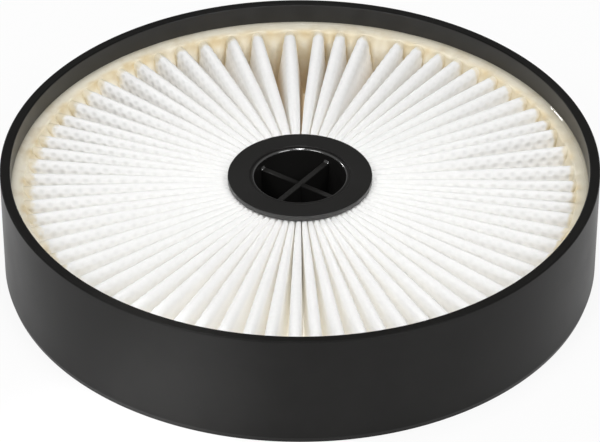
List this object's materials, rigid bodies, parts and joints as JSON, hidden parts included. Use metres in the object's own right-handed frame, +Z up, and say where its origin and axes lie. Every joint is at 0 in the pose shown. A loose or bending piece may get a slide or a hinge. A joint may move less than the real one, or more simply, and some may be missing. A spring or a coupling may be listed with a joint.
{
  "type": "round pleated vacuum filter",
  "caption": "Round vacuum cleaner exhaust filter: a disc of radial white pleats bonded into a short black drum ring, around a flanged hub with a sunken cross grip.",
  "frame": {"origin": "centre of the ring at its foot, on the surface that it stands on", "axes": "+Z up along the ring's axis, towards the rim and the hub's open mouth; +Y is away from the picture's viewer"},
  "size_m": [0.18, 0.18, 0.0363],
  "materials": {
    "black_plastic": "satin moulded",
    "filter_media": "embossed nonwoven",
    "sealant": "cast, slightly glossy"
  },
  "bodies": {
    "root": {"outer_ring": "black_plastic", "edge_sealant": "sealant", "pleated_media": "filter_media", "hub": "black_plastic", "hub_cap": "black_plastic", "hub_sealant": "sealant"}
  },
  "joints": []
}
